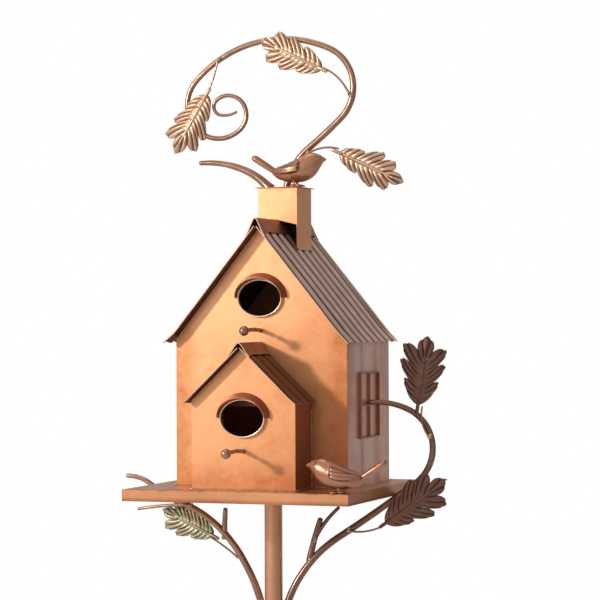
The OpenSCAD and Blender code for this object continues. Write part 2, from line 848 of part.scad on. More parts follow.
module platform_bird() {
    color(dark_copper) on_tray() translate([tray_w / 2 - 10, -tray_d / 2 + 9, 0])
        rotate([0, 0, 184]) bird();
}

// What the branches carry moves out with them. A share of 1 is a branch's far end.
module left_side(share) {
    on_tray() translate([-pole_shift - share * left_more, 0, (share - 1) * left_drop])
        children();
}

module right_side(share) {
    on_tray() rotate([0, 0, branch_turn])
        translate([pole_shift + share * right_more, 0, (share - 1) * right_drop]) children();
}

module left_branch() {
    color(copper) on_tray() rod_at(branch_sink - pole_d / 2, left_root_z, 0, 96,
        left_path, branch_d);
}

module left_twigs() {
    color(copper) {
        left_side(0) rod_at(-56, -60, 0, 90, [[32, -4, 1]], branch_d * 0.8);
        left_side(0.6) rod_at(-92, -24, -2, 180, [[64, 10, 1]], branch_d * 0.5);
    }
}

module left_leaf_stem() {
    color(copper) left_side(0) rod_at(-42, -80, branch_d / 2, 140, [[38, 12, 1]], stem_d);
}

module left_branch_leaf() {
    color(leaf_copper) left_side(0) leaf_at(-72, -57, -branch_leaf_y, 155, 64, 38);
}

module right_branch() {
    color(copper) on_tray() rotate([0, 0, branch_turn])
        rod_at(pole_d / 2 - branch_sink, right_root_z, 0, 90, right_path, branch_d);
}

module right_twigs() {
    color(copper) right_side(0) {
        rod_at(38, -82, 0, 78, [[46, -6, 1]], branch_d * 0.9);
        rod_at(43, -60, 0, 64, [[44, -22, 1]], branch_d * 0.6);
    }
}

module right_leaf_stems() {
    color(copper) right_side(1) {
        rod_at(166, 50, stem_y, 128, [[34, -50, 1]], stem_d);
        rod_at(80, -49, stem_y, -12, [[42, 45, 1]], stem_d);
    }
}

module right_leaf_upper() {
    color(leaf_copper) right_side(1) leaf_at(154, 84, stem_y, 82, 66, 46);
}

module right_leaf_lower() {
    color(leaf_copper) right_side(1) leaf_at(119, -41, branch_leaf_y, 35, 76, 40);
}

ground_spike();
fork_hub();
fork_prongs();
lower_pole();
middle_pole();
upper_pole();
pole_flange();
flange_screws();
flange_nuts();
tray();
front_wall();
back_wall();
left_wall();
right_wall();
roof_left();
roof_right();
ridge_cap();
chimney();
chimney_cap();
upper_rim();
upper_hood();
upper_perch();
porch_front_wall();
porch_left_wall();
porch_right_wall();
porch_roof_left();
porch_roof_right();
porch_ridge_cap();
lower_rim();
lower_hood();
lower_perch();
right_window_frame();
right_window_bars();
left_window_frame();
left_window_bars();
top_scroll();
chimney_twig();
scroll_leaf_stems();
scroll_leaf_left();
scroll_leaf_top();
scroll_leaf_right();
chimney_bird();
left_branch();
left_twigs();
left_branch_leaf();
left_leaf_stem();
right_branch();
right_twigs();
right_leaf_stems();
right_leaf_upper();
right_leaf_lower();
platform_bird();
wall_hinge_leaf();
hinge_pin();
button_stud();
cleanout_door();
door_hinge_leaf();
turn_button();
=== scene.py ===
import math
import random

import bmesh
import bpy
from mathutils import Matrix, Vector, noise


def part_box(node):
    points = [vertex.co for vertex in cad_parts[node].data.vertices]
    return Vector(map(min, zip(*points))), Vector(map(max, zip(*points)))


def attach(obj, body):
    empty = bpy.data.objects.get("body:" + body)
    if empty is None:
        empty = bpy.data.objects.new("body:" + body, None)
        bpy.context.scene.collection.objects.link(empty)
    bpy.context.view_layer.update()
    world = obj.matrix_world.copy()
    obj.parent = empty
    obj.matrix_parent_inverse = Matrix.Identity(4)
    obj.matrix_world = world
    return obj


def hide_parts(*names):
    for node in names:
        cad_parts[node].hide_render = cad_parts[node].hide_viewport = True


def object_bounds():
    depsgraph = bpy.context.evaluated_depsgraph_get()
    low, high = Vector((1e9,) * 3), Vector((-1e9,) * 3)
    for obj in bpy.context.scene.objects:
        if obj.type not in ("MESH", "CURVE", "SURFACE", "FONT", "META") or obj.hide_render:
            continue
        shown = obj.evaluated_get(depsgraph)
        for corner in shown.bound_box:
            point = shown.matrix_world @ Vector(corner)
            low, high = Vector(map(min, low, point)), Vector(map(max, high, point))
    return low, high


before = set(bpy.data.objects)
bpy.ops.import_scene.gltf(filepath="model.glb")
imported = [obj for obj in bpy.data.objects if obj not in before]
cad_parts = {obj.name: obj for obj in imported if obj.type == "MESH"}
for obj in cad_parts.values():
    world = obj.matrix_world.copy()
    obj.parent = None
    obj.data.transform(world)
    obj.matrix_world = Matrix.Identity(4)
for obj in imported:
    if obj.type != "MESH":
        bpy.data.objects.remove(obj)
cad_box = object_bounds()

MM = 0.001
SHEET = 0.9 * MM
TAU = 2 * math.pi

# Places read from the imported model. The tray's top is the level that the house stands on.
tray_low, tray_high = (Vector(corner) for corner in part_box("tray"))
tray_top = tray_high.z
wall_low, wall_high = (Vector(corner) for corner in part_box("front_wall"))
pole_low = Vector(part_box("upper_pole")[0])
stack_low, stack_high = (Vector(corner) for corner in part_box("chimney_cap"))
stack_y = (stack_low.y + stack_high.y) / 2
stack_top = stack_high.z
house_middle = (wall_high.y + Vector(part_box("back_wall")[0]).y) / 2
porch_middle = wall_low.y - 20 * MM


# ---- Camera, light and floor ----

def add_camera():
    data = bpy.data.cameras.new("camera")
    data.lens = 147
    data.sensor_width = 36
    data.clip_end = 50
    camera = bpy.data.objects.new("camera", data)
    bpy.context.collection.objects.link(camera)
    forward = Vector((-0.34202, 0.93968, 0.00459))
    turn = forward.to_track_quat("-Z", "Y").to_matrix()
    lean = Matrix.Rotation(math.radians(-0.24), 3, "Z")
    spot = Matrix.Translation((0.9193, -2.4402, tray_top + 0.184))
    camera.matrix_world = spot @ (turn @ lean).to_4x4()
    bpy.context.scene.camera = camera


def add_light(name, place, target, size, power, colour=(1, 1, 1)):
    data = bpy.data.lights.new(name, "AREA")
    data.shape = "DISK"
    data.size = size
    data.energy = power
    data.color = colour
    lamp = bpy.data.objects.new(name, data)
    bpy.context.collection.objects.link(lamp)
    lamp.location = place
    lamp.rotation_mode = "QUATERNION"
    lamp.rotation_quaternion = (Vector(target) - Vector(place)).to_track_quat("-Z", "Y")


def wire(tree, *links):
    """Links nodes. Each row is a node, its output, the next node and its input."""
    for source, output, target, socket in links:
        tree.links.new(source.outputs[output], target.inputs[socket])


def add_studio():
    """White behind the object, and a softer room around it that is brightest at the upper left."""
    world = bpy.data.worlds.new("studio")
    bpy.context.scene.world = world
    world.use_nodes = True
    nodes = world.node_tree.nodes
    room = nodes["Background"]
    backdrop = nodes.new("ShaderNodeBackground")
    backdrop.inputs["Color"].default_value = (1, 1, 1, 1)
    direction = nodes.new("ShaderNodeTexCoord")
    facing = nodes.new("ShaderNodeVectorMath")
    facing.operation = "DOT_PRODUCT"
    facing.inputs[1].default_value = (-0.62, -0.60, 0.50)
    glow = nodes.new("ShaderNodeMapRange")
    for socket, value in (("From Min", -0.35), ("From Max", 0.9),
                          ("To Min", 0.40), ("To Max", 0.85)):
        glow.inputs[socket].default_value = value
    room.inputs["Color"].default_value = (1, 0.985, 0.97, 1)
    seen = nodes.new("ShaderNodeLightPath")
    choose = nodes.new("ShaderNodeMixShader")
    wire(world.node_tree, (direction, "Generated", facing, 0), (facing, "Value", glow, "Value"),
         (glow, "Result", room, "Strength"), (seen, "Is Camera Ray", choose, 0),
         (room, 0, choose, 1), (backdrop, 0, choose, 2),
         (choose, 0, nodes["World Output"], "Surface"))
    bpy.context.scene.view_settings.view_transform = "Standard"
    house = Vector((0, 0, tray_top + 0.15))
    add_light("key", house + Vector((-1.85, -2.4, 0.80)), house, 0.26, 51, (1, 0.96, 0.91))
    add_light("front_fill", house + Vector((-0.9, -3.2, 0.2)), house, 1.4, 2.5)
    add_light("top_fill", house + Vector((-0.6, 0.3, 2.6)), house, 1.6, 12)


def add_floor():
    bpy.ops.mesh.primitive_circle_add(vertices=96, radius=4.5, fill_type="NGON")
    floor = bpy.context.object
    floor.name = "studio_floor"
    floor.location.z = cad_box[0][2] - 2 * MM
    paint = Shader("pale_floor", {"Roughness": 0.9, "Specular IOR Level": 0.1})
    paint.principled.inputs["Base Color"].default_value = (0.86, 0.86, 0.86, 1)
    floor.data.materials.append(paint.material)


# ---- Shader helpers ----

class Value:
    """A socket of a shader tree. Arithmetic on it adds Math nodes."""

    def __init__(self, shader, socket):
        self.shader = shader
        self.socket = socket

    def _math(self, operation, first, second=None):
        return self.shader.add("ShaderNodeMath", {"operation": operation}, {0: first, 1: second})

    def __add__(self, other):
        return self._math("ADD", self, other)

    __radd__ = __add__

    def __mul__(self, other):
        return self._math("MULTIPLY", self, other)

    __rmul__ = __mul__

    def __sub__(self, other):
        return self._math("SUBTRACT", self, other)

    def __rsub__(self, other):
        return self._math("SUBTRACT", other, self)

    def size(self):
        return self._math("ABSOLUTE", self)

    def below(self, other):
        return self._math("MINIMUM", self, other)

    def above(self, other):
        return self._math("MAXIMUM", self, other)

    def ramp(self, start, end):
        """0 at start and 1 at end, smooth between them."""
        settings = {"interpolation_type": "SMOOTHSTEP"}
        sockets = {"Value": self, "From Min": start, "From Max": end, "To Min": 0.0, "To Max": 1.0}
        return self.shader.add("ShaderNodeMapRange", settings, sockets)


class Shader:
    """A material with one Principled shader, and a method for any other node."""

    def __init__(self, name, constants):
        self.material = bpy.data.materials.new(name)
        self.material.use_nodes = True
        self.tree = self.material.node_tree
        self.principled = self.tree.nodes["Principled BSDF"]
        for socket, value in constants.items():
            self.principled.inputs[socket].default_value = value

    def add(self, kind, settings=None, sockets=None, output=0):
        node = self.tree.nodes.new(kind)
        for key, value in (settings or {}).items():
            setattr(node, key, value)
        for key, value in (sockets or {}).items():
            if isinstance(value, Value):
                self.tree.links.new(value.socket, node.inputs[key])
            elif value is not None:
                node.inputs[key].default_value = value
        return Value(self, node.outputs[output])

    def place(self):
        return self.add("ShaderNodeTexCoord", output="Object")

    def parts(self, vector):
        split = self.add("ShaderNodeSeparateXYZ", {}, {0: vector})
        return [Value(self, out) for out in split.socket.node.outputs]

    def stretched(self, vector, scale):
        return self.add("ShaderNodeMapping", {}, {"Vector": vector, "Scale": scale})

    def noise(self, vector, scale, detail=3.0, rough=0.55, distortion=0.0):
        sockets = {"Vector": vector, "Scale": scale, "Detail": detail, "Roughness": rough,
                   "Distortion": distortion}
        return self.add("ShaderNodeTexNoise", {}, sockets)

    def mix(self, mask, first, second):
        node = self.add("ShaderNodeMix", {"data_type": "RGBA"}, {0: mask}).socket.node
        for key, value in ((6, first), (7, second)):
            if isinstance(value, Value):
                self.tree.links.new(value.socket, node.inputs[key])
            else:
                node.inputs[key].default_value = (*value, 1)
        return Value(self, node.outputs[2])

    def bump(self, height, strength, distance):
        return self.add("ShaderNodeBump", {}, {"Height": height, "Strength": strength,
                                               "Distance": distance})

    def feed(self, socket, value):
        self.tree.links.new(value.socket, self.principled.inputs[socket])


# ---- Copper finishes ----

def copper_finish(name, bright, deep, gloss=0.38, metallic=0.82, streaks=0.0, green=0.0,
                  hollows=None, tarnish=0.5, edges=None, speckle=0.5):
    """Lacquered copper: clouded colour, fine speckle, and tarnish that gathers in patches."""
    shader = Shader(name, {"Metallic": metallic, "Coat Weight": 0.12, "Coat Roughness": 0.3,
                           "Specular IOR Level": 0.5})
    place = shader.place()
    cloud = shader.noise(place, 17.0, 4.0, 0.6, 0.4)
    patch = shader.noise(place, 55.0, 3.0, 0.58, 0.8)
    dust = shader.noise(place, 620.0, 3.0, 0.75)
    mask = (cloud.ramp(0.38, 0.70) * 0.55 + patch.ramp(0.45, 0.75) * 0.35) * tarnish
    if streaks:
        runs = shader.noise(shader.stretched(place, (1.0, 1.0, 0.12)), 42.0, 3.0, 0.5, 0.3)
        mask = mask + runs.ramp(0.40, 0.70) * streaks
    # On the front wall, the edges function adds painted shade to this mask.
    if edges:
        mask = mask + edges(shader, place, patch)
    mask = (mask + (dust - 0.5) * (0.65 * speckle)).below(1.0).above(0.0)
    colour = shader.mix(mask, bright, deep)
    if streaks:
        # Pale grey streaks: a painted reflection.
        grey = shader.noise(shader.stretched(place, (1.0, 1.0, 0.10)), 26.0, 3.0, 0.5, 0.3)
        colour = shader.mix(grey.ramp(0.42, 0.66) * (streaks * 0.9), colour, (0.64, 0.56, 0.53))
    if hollows:
        depth = shader.add("ShaderNodeAttribute", {"attribute_name": hollows}, output="Fac")
        colour = shader.mix(depth.ramp(0.35, 0.95) * 0.85, colour, tuple(c * 0.30 for c in deep))
    if green:
        moss = shader.noise(place, 75.0, 5.0, 0.7, 0.6)
        low = 0.62 - 0.16 * green
        colour = shader.mix(moss.ramp(low, low + 0.16) * 0.7, colour, (0.26, 0.31, 0.20))
    shader.feed("Base Color", colour)
    shader.feed("Roughness", mask * 0.16 + (dust * 0.10 + (gloss - 0.07)))
    dents = shader.noise(place, 26.0, 2.0, 0.5)
    height = dents + dust * 0.005
    shader.feed("Normal", shader.bump(height, 0.30, 1.2 * MM))
    return shader.material


def gable_borders_and_shade(shader, place, patch):
    """Darker, patchy borders along the sides and foot of the front wall, and painted shade that
    deepens towards its bottom and its right.
    """
    x, _, z = shader.parts(place)
    half = wall_high.x
    side = (half - x.size()).ramp(30 * MM, 0.0)
    foot = (z - tray_top).ramp(40 * MM, 0.0)
    # Painted shade: darker towards the wall's bottom and towards its right, away from the key
    # light.
    low = (z - tray_top).ramp(230 * MM, 20 * MM) * 0.34
    low = low + (x + half * 0.3).ramp(0.0, half) * 0.26
    return (side.above(foot) * (patch * 0.8 + 0.15)) * 0.7 + low


def fascia_edges(shader, place, patch):
    """Darker hems on the tray, and a brown stain along the front of its top."""
    _, y, z = shader.parts(place)
    hem = (z - tray_low.z).ramp(6 * MM, 0.0) * 0.8
    top = (z - tray_high.z + 1 * MM).ramp(0.0, 0.5 * MM)
    stain = (y - tray_low.y).ramp(26 * MM, 8 * MM) * patch.ramp(0.42, 0.6) * top
    return hem.above(stain * 0.7)


def bare_steel(name):
    shader = Shader(name, {"Metallic": 0.75})
    place = shader.place()
    grain = shader.noise(place, 160.0, 4.0)
    colour = shader.mix(grain.ramp(0.4, 0.7), (0.055, 0.05, 0.046), (0.12, 0.10, 0.085))
    shader.feed("Base Color", colour)
    shader.feed("Roughness", grain * 0.25 + 0.35)
    shader.feed("Normal", shader.bump(grain, 0.2, 0.3 * MM))
    return shader.material


def solder_finish(name):
    shader = Shader(name, {"Metallic": 0.7})
    place = shader.place()
    lumps = shader.noise(place, 260.0, 4.0)
    colour = shader.mix(lumps.ramp(0.4, 0.62), (0.60, 0.42, 0.28), (0.30, 0.28, 0.20))
    shader.feed("Base Color", colour)
    shader.feed("Roughness", lumps * 0.3 + 0.3)
    shader.feed("Normal", shader.bump(lumps, 0.5, 0.5 * MM))
    return shader.material


PEACH = (0.79, 0.395, 0.195)
AMBER = (0.50, 0.175, 0.06)
FINISH = {
    "wall": copper_finish("wall_copper", PEACH, AMBER, gloss=0.42, edges=gable_borders_and_shade, tarnish=0.36,
                          speckle=0.8),
    # Painted light: a greyer copy of the copper for the side walls and for faces that turn right,
    # away from the key light; its pale streaks are painted reflection.
    "side": copper_finish("side_shade_copper", (0.78, 0.46, 0.36), (0.42, 0.21, 0.16), gloss=0.40,
                          streaks=0.5),
    # Painted shade and reflection: the porch's sides are a much darker copy of the copper, for the
    # house's shadow and the dark wall and tray that they reflect.
    "porch_side": copper_finish("porch_side_shade_copper", (0.30, 0.10, 0.048), (0.17, 0.055, 0.025)),
    "roof": copper_finish("roof_copper", (0.78, 0.52, 0.42), (0.36, 0.205, 0.16), gloss=0.42,
                          hollows="depth"),
    # Painted shade and reflection: the porch roof is a much darker copy of the roof copper, for the
    # dark wall and tray that it reflects.
    "porch_roof": copper_finish("porch_roof_shade_copper", (0.19, 0.064, 0.034), (0.09, 0.031, 0.018),
                                hollows="depth"),
    "cap": copper_finish("ridge_copper", (0.34, 0.125, 0.07), (0.17, 0.06, 0.035), gloss=0.36),
    # Painted shade: the undersides of the roof sheets and ridge caps are a darker copy of the
    # copper.
    "under": copper_finish("underside_shade_copper", (0.20, 0.085, 0.05), (0.11, 0.045, 0.028),
                           gloss=0.5),
    # Painted shade: near black, for the walls' inner faces and for the dark strips and sheet put
    # where only shade is.
    "inside": copper_finish("inside_copper", (0.022, 0.014, 0.013), (0.012, 0.008, 0.010),
                            gloss=0.85, metallic=0.0),
    "tray": copper_finish("tray_copper", (0.62, 0.28, 0.13), (0.28, 0.10, 0.05), gloss=0.34,
                          tarnish=0.45, edges=fascia_edges),
    "tube": copper_finish("tube_copper", (0.66, 0.32, 0.185), (0.38, 0.165, 0.09), gloss=0.27,
                          tarnish=0.6, speckle=0.12),
    "rod": copper_finish("rod_copper", (0.38, 0.20, 0.13), (0.14, 0.066, 0.044), gloss=0.24,
                         green=0.25, tarnish=0.9, speckle=0.1),
    "dark_rod": copper_finish("dark_rod_copper", (0.24, 0.125, 0.085), (0.09, 0.045, 0.032),
                              gloss=0.24, green=0.2, tarnish=0.9, speckle=0.1),
    "leaf": copper_finish("leaf_copper", (0.62, 0.39, 0.26), (0.34, 0.18, 0.11), gloss=0.34,
                          green=0.2, hollows="depth", speckle=0.2),
    "dark_leaf": copper_finish("dark_leaf_copper", (0.185, 0.085, 0.058), (0.11, 0.052, 0.037),
                               gloss=0.40, green=0.25, hollows="depth"),
    "green_leaf": copper_finish("green_leaf_copper", (0.44, 0.35, 0.22), (0.22, 0.16, 0.10),
                                gloss=0.40, green=1.3, hollows="depth"),
    "bird": copper_finish("bird_copper", (0.46, 0.205, 0.12), (0.20, 0.078, 0.045), gloss=0.30,
                          green=0.15, hollows="depth", speckle=0.2),
    # Painted highlight: a bright copper for the entrances' rolled collars and the small fittings.
    "edge": copper_finish("edge_copper", (0.88, 0.60, 0.42), (0.55, 0.30, 0.17), gloss=0.26,
                          tarnish=0.3),
    # Painted highlight: a lighter copper for the cut edges of the roof sheets and ridge caps, and
    # for the outward faces of the window frames and bars.
    "sheet_edge": copper_finish("sheet_edge_copper", (0.62, 0.37, 0.25), (0.36, 0.17, 0.10),
                                gloss=0.3),
    "hood": copper_finish("hood_copper", (0.40, 0.165, 0.10), (0.18, 0.07, 0.042), gloss=0.34),
    "solder": solder_finish("solder"),
    "steel": bare_steel("fork_steel"),
}


# ---- Mesh helpers ----

def finish_piece(mesh, name, finish, nodes=(), body="house", smooth=True):
    """Makes an object of a mesh, gives it a finish, and puts it on its body."""
    piece = bpy.data.objects.new(name, mesh)
    bpy.context.collection.objects.link(piece)
    mesh.materials.clear()
    for part in finish.split():
        mesh.materials.append(FINISH[part])
    mesh.shade_smooth() if smooth else mesh.shade_flat()
    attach(piece, body)
    if nodes:
        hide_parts(*nodes)
    return piece


def new_mesh(name, points, faces, depth=None, merge=1e-7):
    """A mesh with outward faces. depth is how far each point lies in the hollows of its relief."""
    mesh = bpy.data.meshes.new(name)
    mesh.from_pydata([tuple(p) for p in points], [], faces)
    if depth:
        mesh.attributes.new("depth", "FLOAT", "POINT").data.foreach_set("value", depth)
    mesh.validate()
    build = bmesh.new()
    build.from_mesh(mesh)
    bmesh.ops.remove_doubles(build, verts=build.verts, dist=merge)
    bmesh.ops.recalc_face_normals(build, faces=build.faces)
    build.to_mesh(mesh)
    build.free()
    return mesh


def joined(name, meshes):
    """One mesh of several, keeping the attributes that the first one has."""
    build = bmesh.new()
    for mesh in meshes:
        build.from_mesh(mesh)
    out = bpy.data.meshes.new(name)
    build.to_mesh(out)
    build.free()
    return out


def folded_sheet(node, finish, edge, body="house", room=None, facing_light_finish=None):
    """A sheet-metal piece with its CAD shape and softly rounded edges."""
    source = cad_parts[node]
    build = bmesh.new()
    build.from_mesh(source.data)
    bmesh.ops.remove_doubles(build, verts=build.verts, dist=1e-6)
    bmesh.ops.dissolve_limit(build, angle_limit=math.radians(2), verts=build.verts,
                             edges=build.edges)
    # Painted light by facing: faces turned to +X (on the windows, to either side) take a second
    # finish, the side copper on the chimney's right side, which lies in shade, and the bright
    # sheet-edge copper as a painted highlight on the windows' outer faces.
    if facing_light_finish:
        for face in build.faces:
            outward = abs(face.normal.x) if "window" in node else face.normal.x
            face.material_index = 1 if outward > 0.5 else 0
        finish += " " + facing_light_finish
    # Faces that turn in towards the room's middle take a near-black second finish: painted shade
    # within the house.
    if room:
        middle = Vector((0, room, 0))
        for face in build.faces:
            towards = middle - face.calc_center_median()
            towards.z = 0
            inward = face.normal.dot(towards.normalized()) > 0.5
            face.material_index = 1 if inward and abs(face.normal.z) < 0.3 else 0
        finish += " inside"
    mesh = bpy.data.meshes.new(node + "_sheet")
    build.to_mesh(mesh)
    build.free()
    piece = finish_piece(mesh, node + "_sheet", finish, (node,), body, smooth=False)
    bevel = piece.modifiers.new("rounded_edges", "BEVEL")
    bevel.width = edge * MM
    bevel.segments = 2
    bevel.limit_method = "ANGLE"
    bevel.angle_limit = math.radians(40)


def ring_faces(count, sides, looped=False):
    """Faces that join rings of points, in a loop or with both ends capped."""
    faces = []
    for i in range(count if looped else count - 1):
        n = (i + 1) % count
        for j in range(sides):
            k = (j + 1) % sides
            faces.append((i * sides + j, i * sides + k, n * sides + k, n * sides + j))
    if not looped:
        faces.append(tuple(range(sides - 1, -1, -1)))
        faces.append(tuple((count - 1) * sides + j for j in range(sides)))
    return faces


def skin_faces(rows, cols):
    """Faces of two grids of points, one below the other, and of the border between them."""
    width = cols + 1
    total = (rows + 1) * width
    faces, kinds = [], []
    for i in range(rows):
        for j in range(cols):
            p = i * width + j
            q = p + total
            faces += [(p, p + width, p + width + 1, p + 1), (q + 1, q + width + 1, q + width, q)]
            kinds += [0, 1]
    border = list(range(width)) + [i * width + cols for i in range(1, rows + 1)]
    border += [rows * width + j for j in range(cols - 1, -1, -1)]
    border += [i * width for i in range(rows - 1, 0, -1)]
    for p, q in zip(border, border[1:] + border[:1]):
        faces.append((p, q, q + total, p + total))
        kinds.append(2)
    return faces, kinds


def tube(name, route, radii, sides=16, wobble=0.0, seed=0):
    """A closed round rod along a route, with flat caps at its ends and a slight hand-forged wobble.
    """
    points = []
    up = Vector((0, 1, 0))
    count = len(route)
    for i, centre in enumerate(route):
        ahead = route[min(i + 1, count - 1)] - route[max(i - 1, 0)]
        ahead.normalize()
        across = ahead.cross(up).normalized()
        lift = across.cross(ahead).normalized()
        for j in range(sides):
            a = TAU * j / sides
            spot = centre + (across * math.cos(a) + lift * math.sin(a)) * radii[i]
            bump = noise.noise((spot + Vector((seed, 0, 0))) * 90) * wobble
            points.append(spot + (spot - centre) * bump)
    return new_mesh(name, points, ring_faces(count, sides))


def rounded_ends(route, radii, start=True):
    """Adds small rings at a rod's far end, and at its start, so that they close as domes."""
    for turned in ((True, False) if start else (False,)):
        rings = list(zip(route, radii))[::-1 if turned else 1]
        (tip, r), inner = rings[-1], rings[-2][0]
        out = (tip - inner).normalized()
        rings += [(tip + out * r * s * 0.8, r * math.sqrt(1 - s * s))
                  for s in (0.35, 0.65, 0.86, 0.97)]
        route, radii = zip(*rings[::-1 if turned else 1])
    return route, radii


def bent_route(x, z, y, heading, path, width, step=2.2):
    """Points and radii along a rod. Its arcs are each a length, a turn and a share of width."""
    route = [Vector((x, y, z))]
    shares = [path[0][2]]
    angle = math.radians(heading)
    for index, (length, turn, share) in enumerate(path):
        following = path[index + 1][2] if index + 1 < len(path) else share * 0.8
        count = max(2, round(length / step))
        for i in range(count):
            angle += math.radians(turn) / count / 2
            ahead = Vector((math.cos(angle), 0, math.sin(angle)))
            route.append(route[-1] + ahead * (length / count))
            angle += math.radians(turn) / count / 2
            shares.append(share + (following - share) * (i + 1) / count)
    return [p * MM for p in route], [s * width / 2 * MM for s in shares]


def lifted(route, turn=0.0):
    """A route drawn from the tray's top, turned about the pole and put in its place."""
    spin = Matrix.Rotation(math.radians(turn), 3, "Z")
    return [spin @ p + Vector((0, 0, tray_top)) for p in route]


# ---- Rods ----

SCROLL = [(52, -42, 1), (47, 5, 0.96), (90, 112, 0.92), (169, 72, 0.86), (113, 173, 0.78),
          (66, 176, 0.68), (22, 133, 0.56), (19, 39, 0.46)]
TWIG = [(30, 22, 1.25), (30, 16, 1.05), (29, 14, 0.85)]
RIGHT_BRANCH = [(135, -57, 1), (100, 4, 0.92), (96, 119, 0.86), (40, 28, 0.8)]
LEFT_BRANCH = [(104, 32, 1), (95, 41, 0.9), (7, -42, 0.84), (44, 54, 0.74)]
BRANCH_TURN = 17
SCROLL_W, BRANCH_W, STEM_W = 7.6, 8.0, 2.4
STEM_Y = -BRANCH_W / 2
LEAF_Y = STEM_Y - STEM_W / 2 - 0.7
scroll_y = stack_y / MM
scroll_leaf_y = scroll_y - SCROLL_W / 2 - STEM_W / 2
stack_z = (stack_top - tray_top) / MM
SCROLL_BENT_FOR = 317.5     # the chimney's top when the scroll's leaves were placed
leaf_rise = stack_z - SCROLL_BENT_FOR


def rod(name, node, starts, width, turn=0.0, wobble=0.05, finish="rod", flare=0.0):
    """One node's rods: each start is x, z, y, heading and a path, in mm from the tray's top."""
    meshes = []
    for index, (x, z, y, heading, path) in enumerate(starts):
        route, radii = bent_route(x, z, y, heading, path, width)
        if flare:
            radii = [r * (1 + flare * math.exp(-i * 0.35)) for i, r in enumerate(radii)]
        route, radii = rounded_ends(lifted(route, turn), radii, start=False)
        meshes.append(tube(name, route, radii, 18 if width > 5 else 10, wobble, index * 3.7))
    finish_piece(joined(name, meshes), name, finish, (node,))


def make_rods():
    rod("scroll_rod", "top_scroll", [(2, stack_z - 1, scroll_y, 80, SCROLL)], SCROLL_W)
    rod("stack_twig", "chimney_twig", [(-17, stack_z - 1, scroll_y, 131, TWIG)], SCROLL_W,
        flare=0.35)
    rod("scroll_stems", "scroll_leaf_stems", [
        (-75, 458 + leaf_rise, scroll_leaf_y, 256, [(39, -10, 1)]),
        (76, 415 + leaf_rise, scroll_leaf_y, 118, [(6, 0, 1.5), (38, 40, 1)]),
        (24, 351 + leaf_rise, scroll_leaf_y, 30, [(5, 0, 1.5), (36, -45, 1)])], STEM_W,
        wobble=0.02)
    left_x = pole_low.x / MM + 2
    rod("left_branch_rod", "left_branch", [(left_x, -160, 0, 96, LEFT_BRANCH)], BRANCH_W)
    rod("left_twig_rods", "left_twigs", [(-56, -60, 0, 90, [(32, -4, 0.8)]),
                                         (-92, -24, -2, 180, [(64, 10, 0.5)])], BRANCH_W)
    rod("left_stem", "left_leaf_stem", [(-42, -80, BRANCH_W / 2, 140, [(38, 12, 1)])], STEM_W)
    rod("right_branch_rod", "right_branch", [(-left_x, -170, 0, 90, RIGHT_BRANCH)], BRANCH_W,
        BRANCH_TURN, finish="dark_rod")
    rod("right_twig_rods", "right_twigs", [(38, -82, 0, 78, [(46, -6, 0.9)]),
                                           (43, -60, 0, 64, [(44, -22, 0.6)])], BRANCH_W,
        BRANCH_TURN, finish="dark_rod")
    rod("right_stems", "right_leaf_stems", [(166, 50, STEM_Y, 128, [(34, -50, 1)]),
                                            (80, -49, STEM_Y, -12, [(42, 45, 1)])], STEM_W,
        BRANCH_TURN)


# ---- Leaves ----

LOBES = 3.5                 # along each side of a leaf


def smooth(t):
    t = max(0.0, min(1.0, t))
    return t * t * (3 - 2 * t)


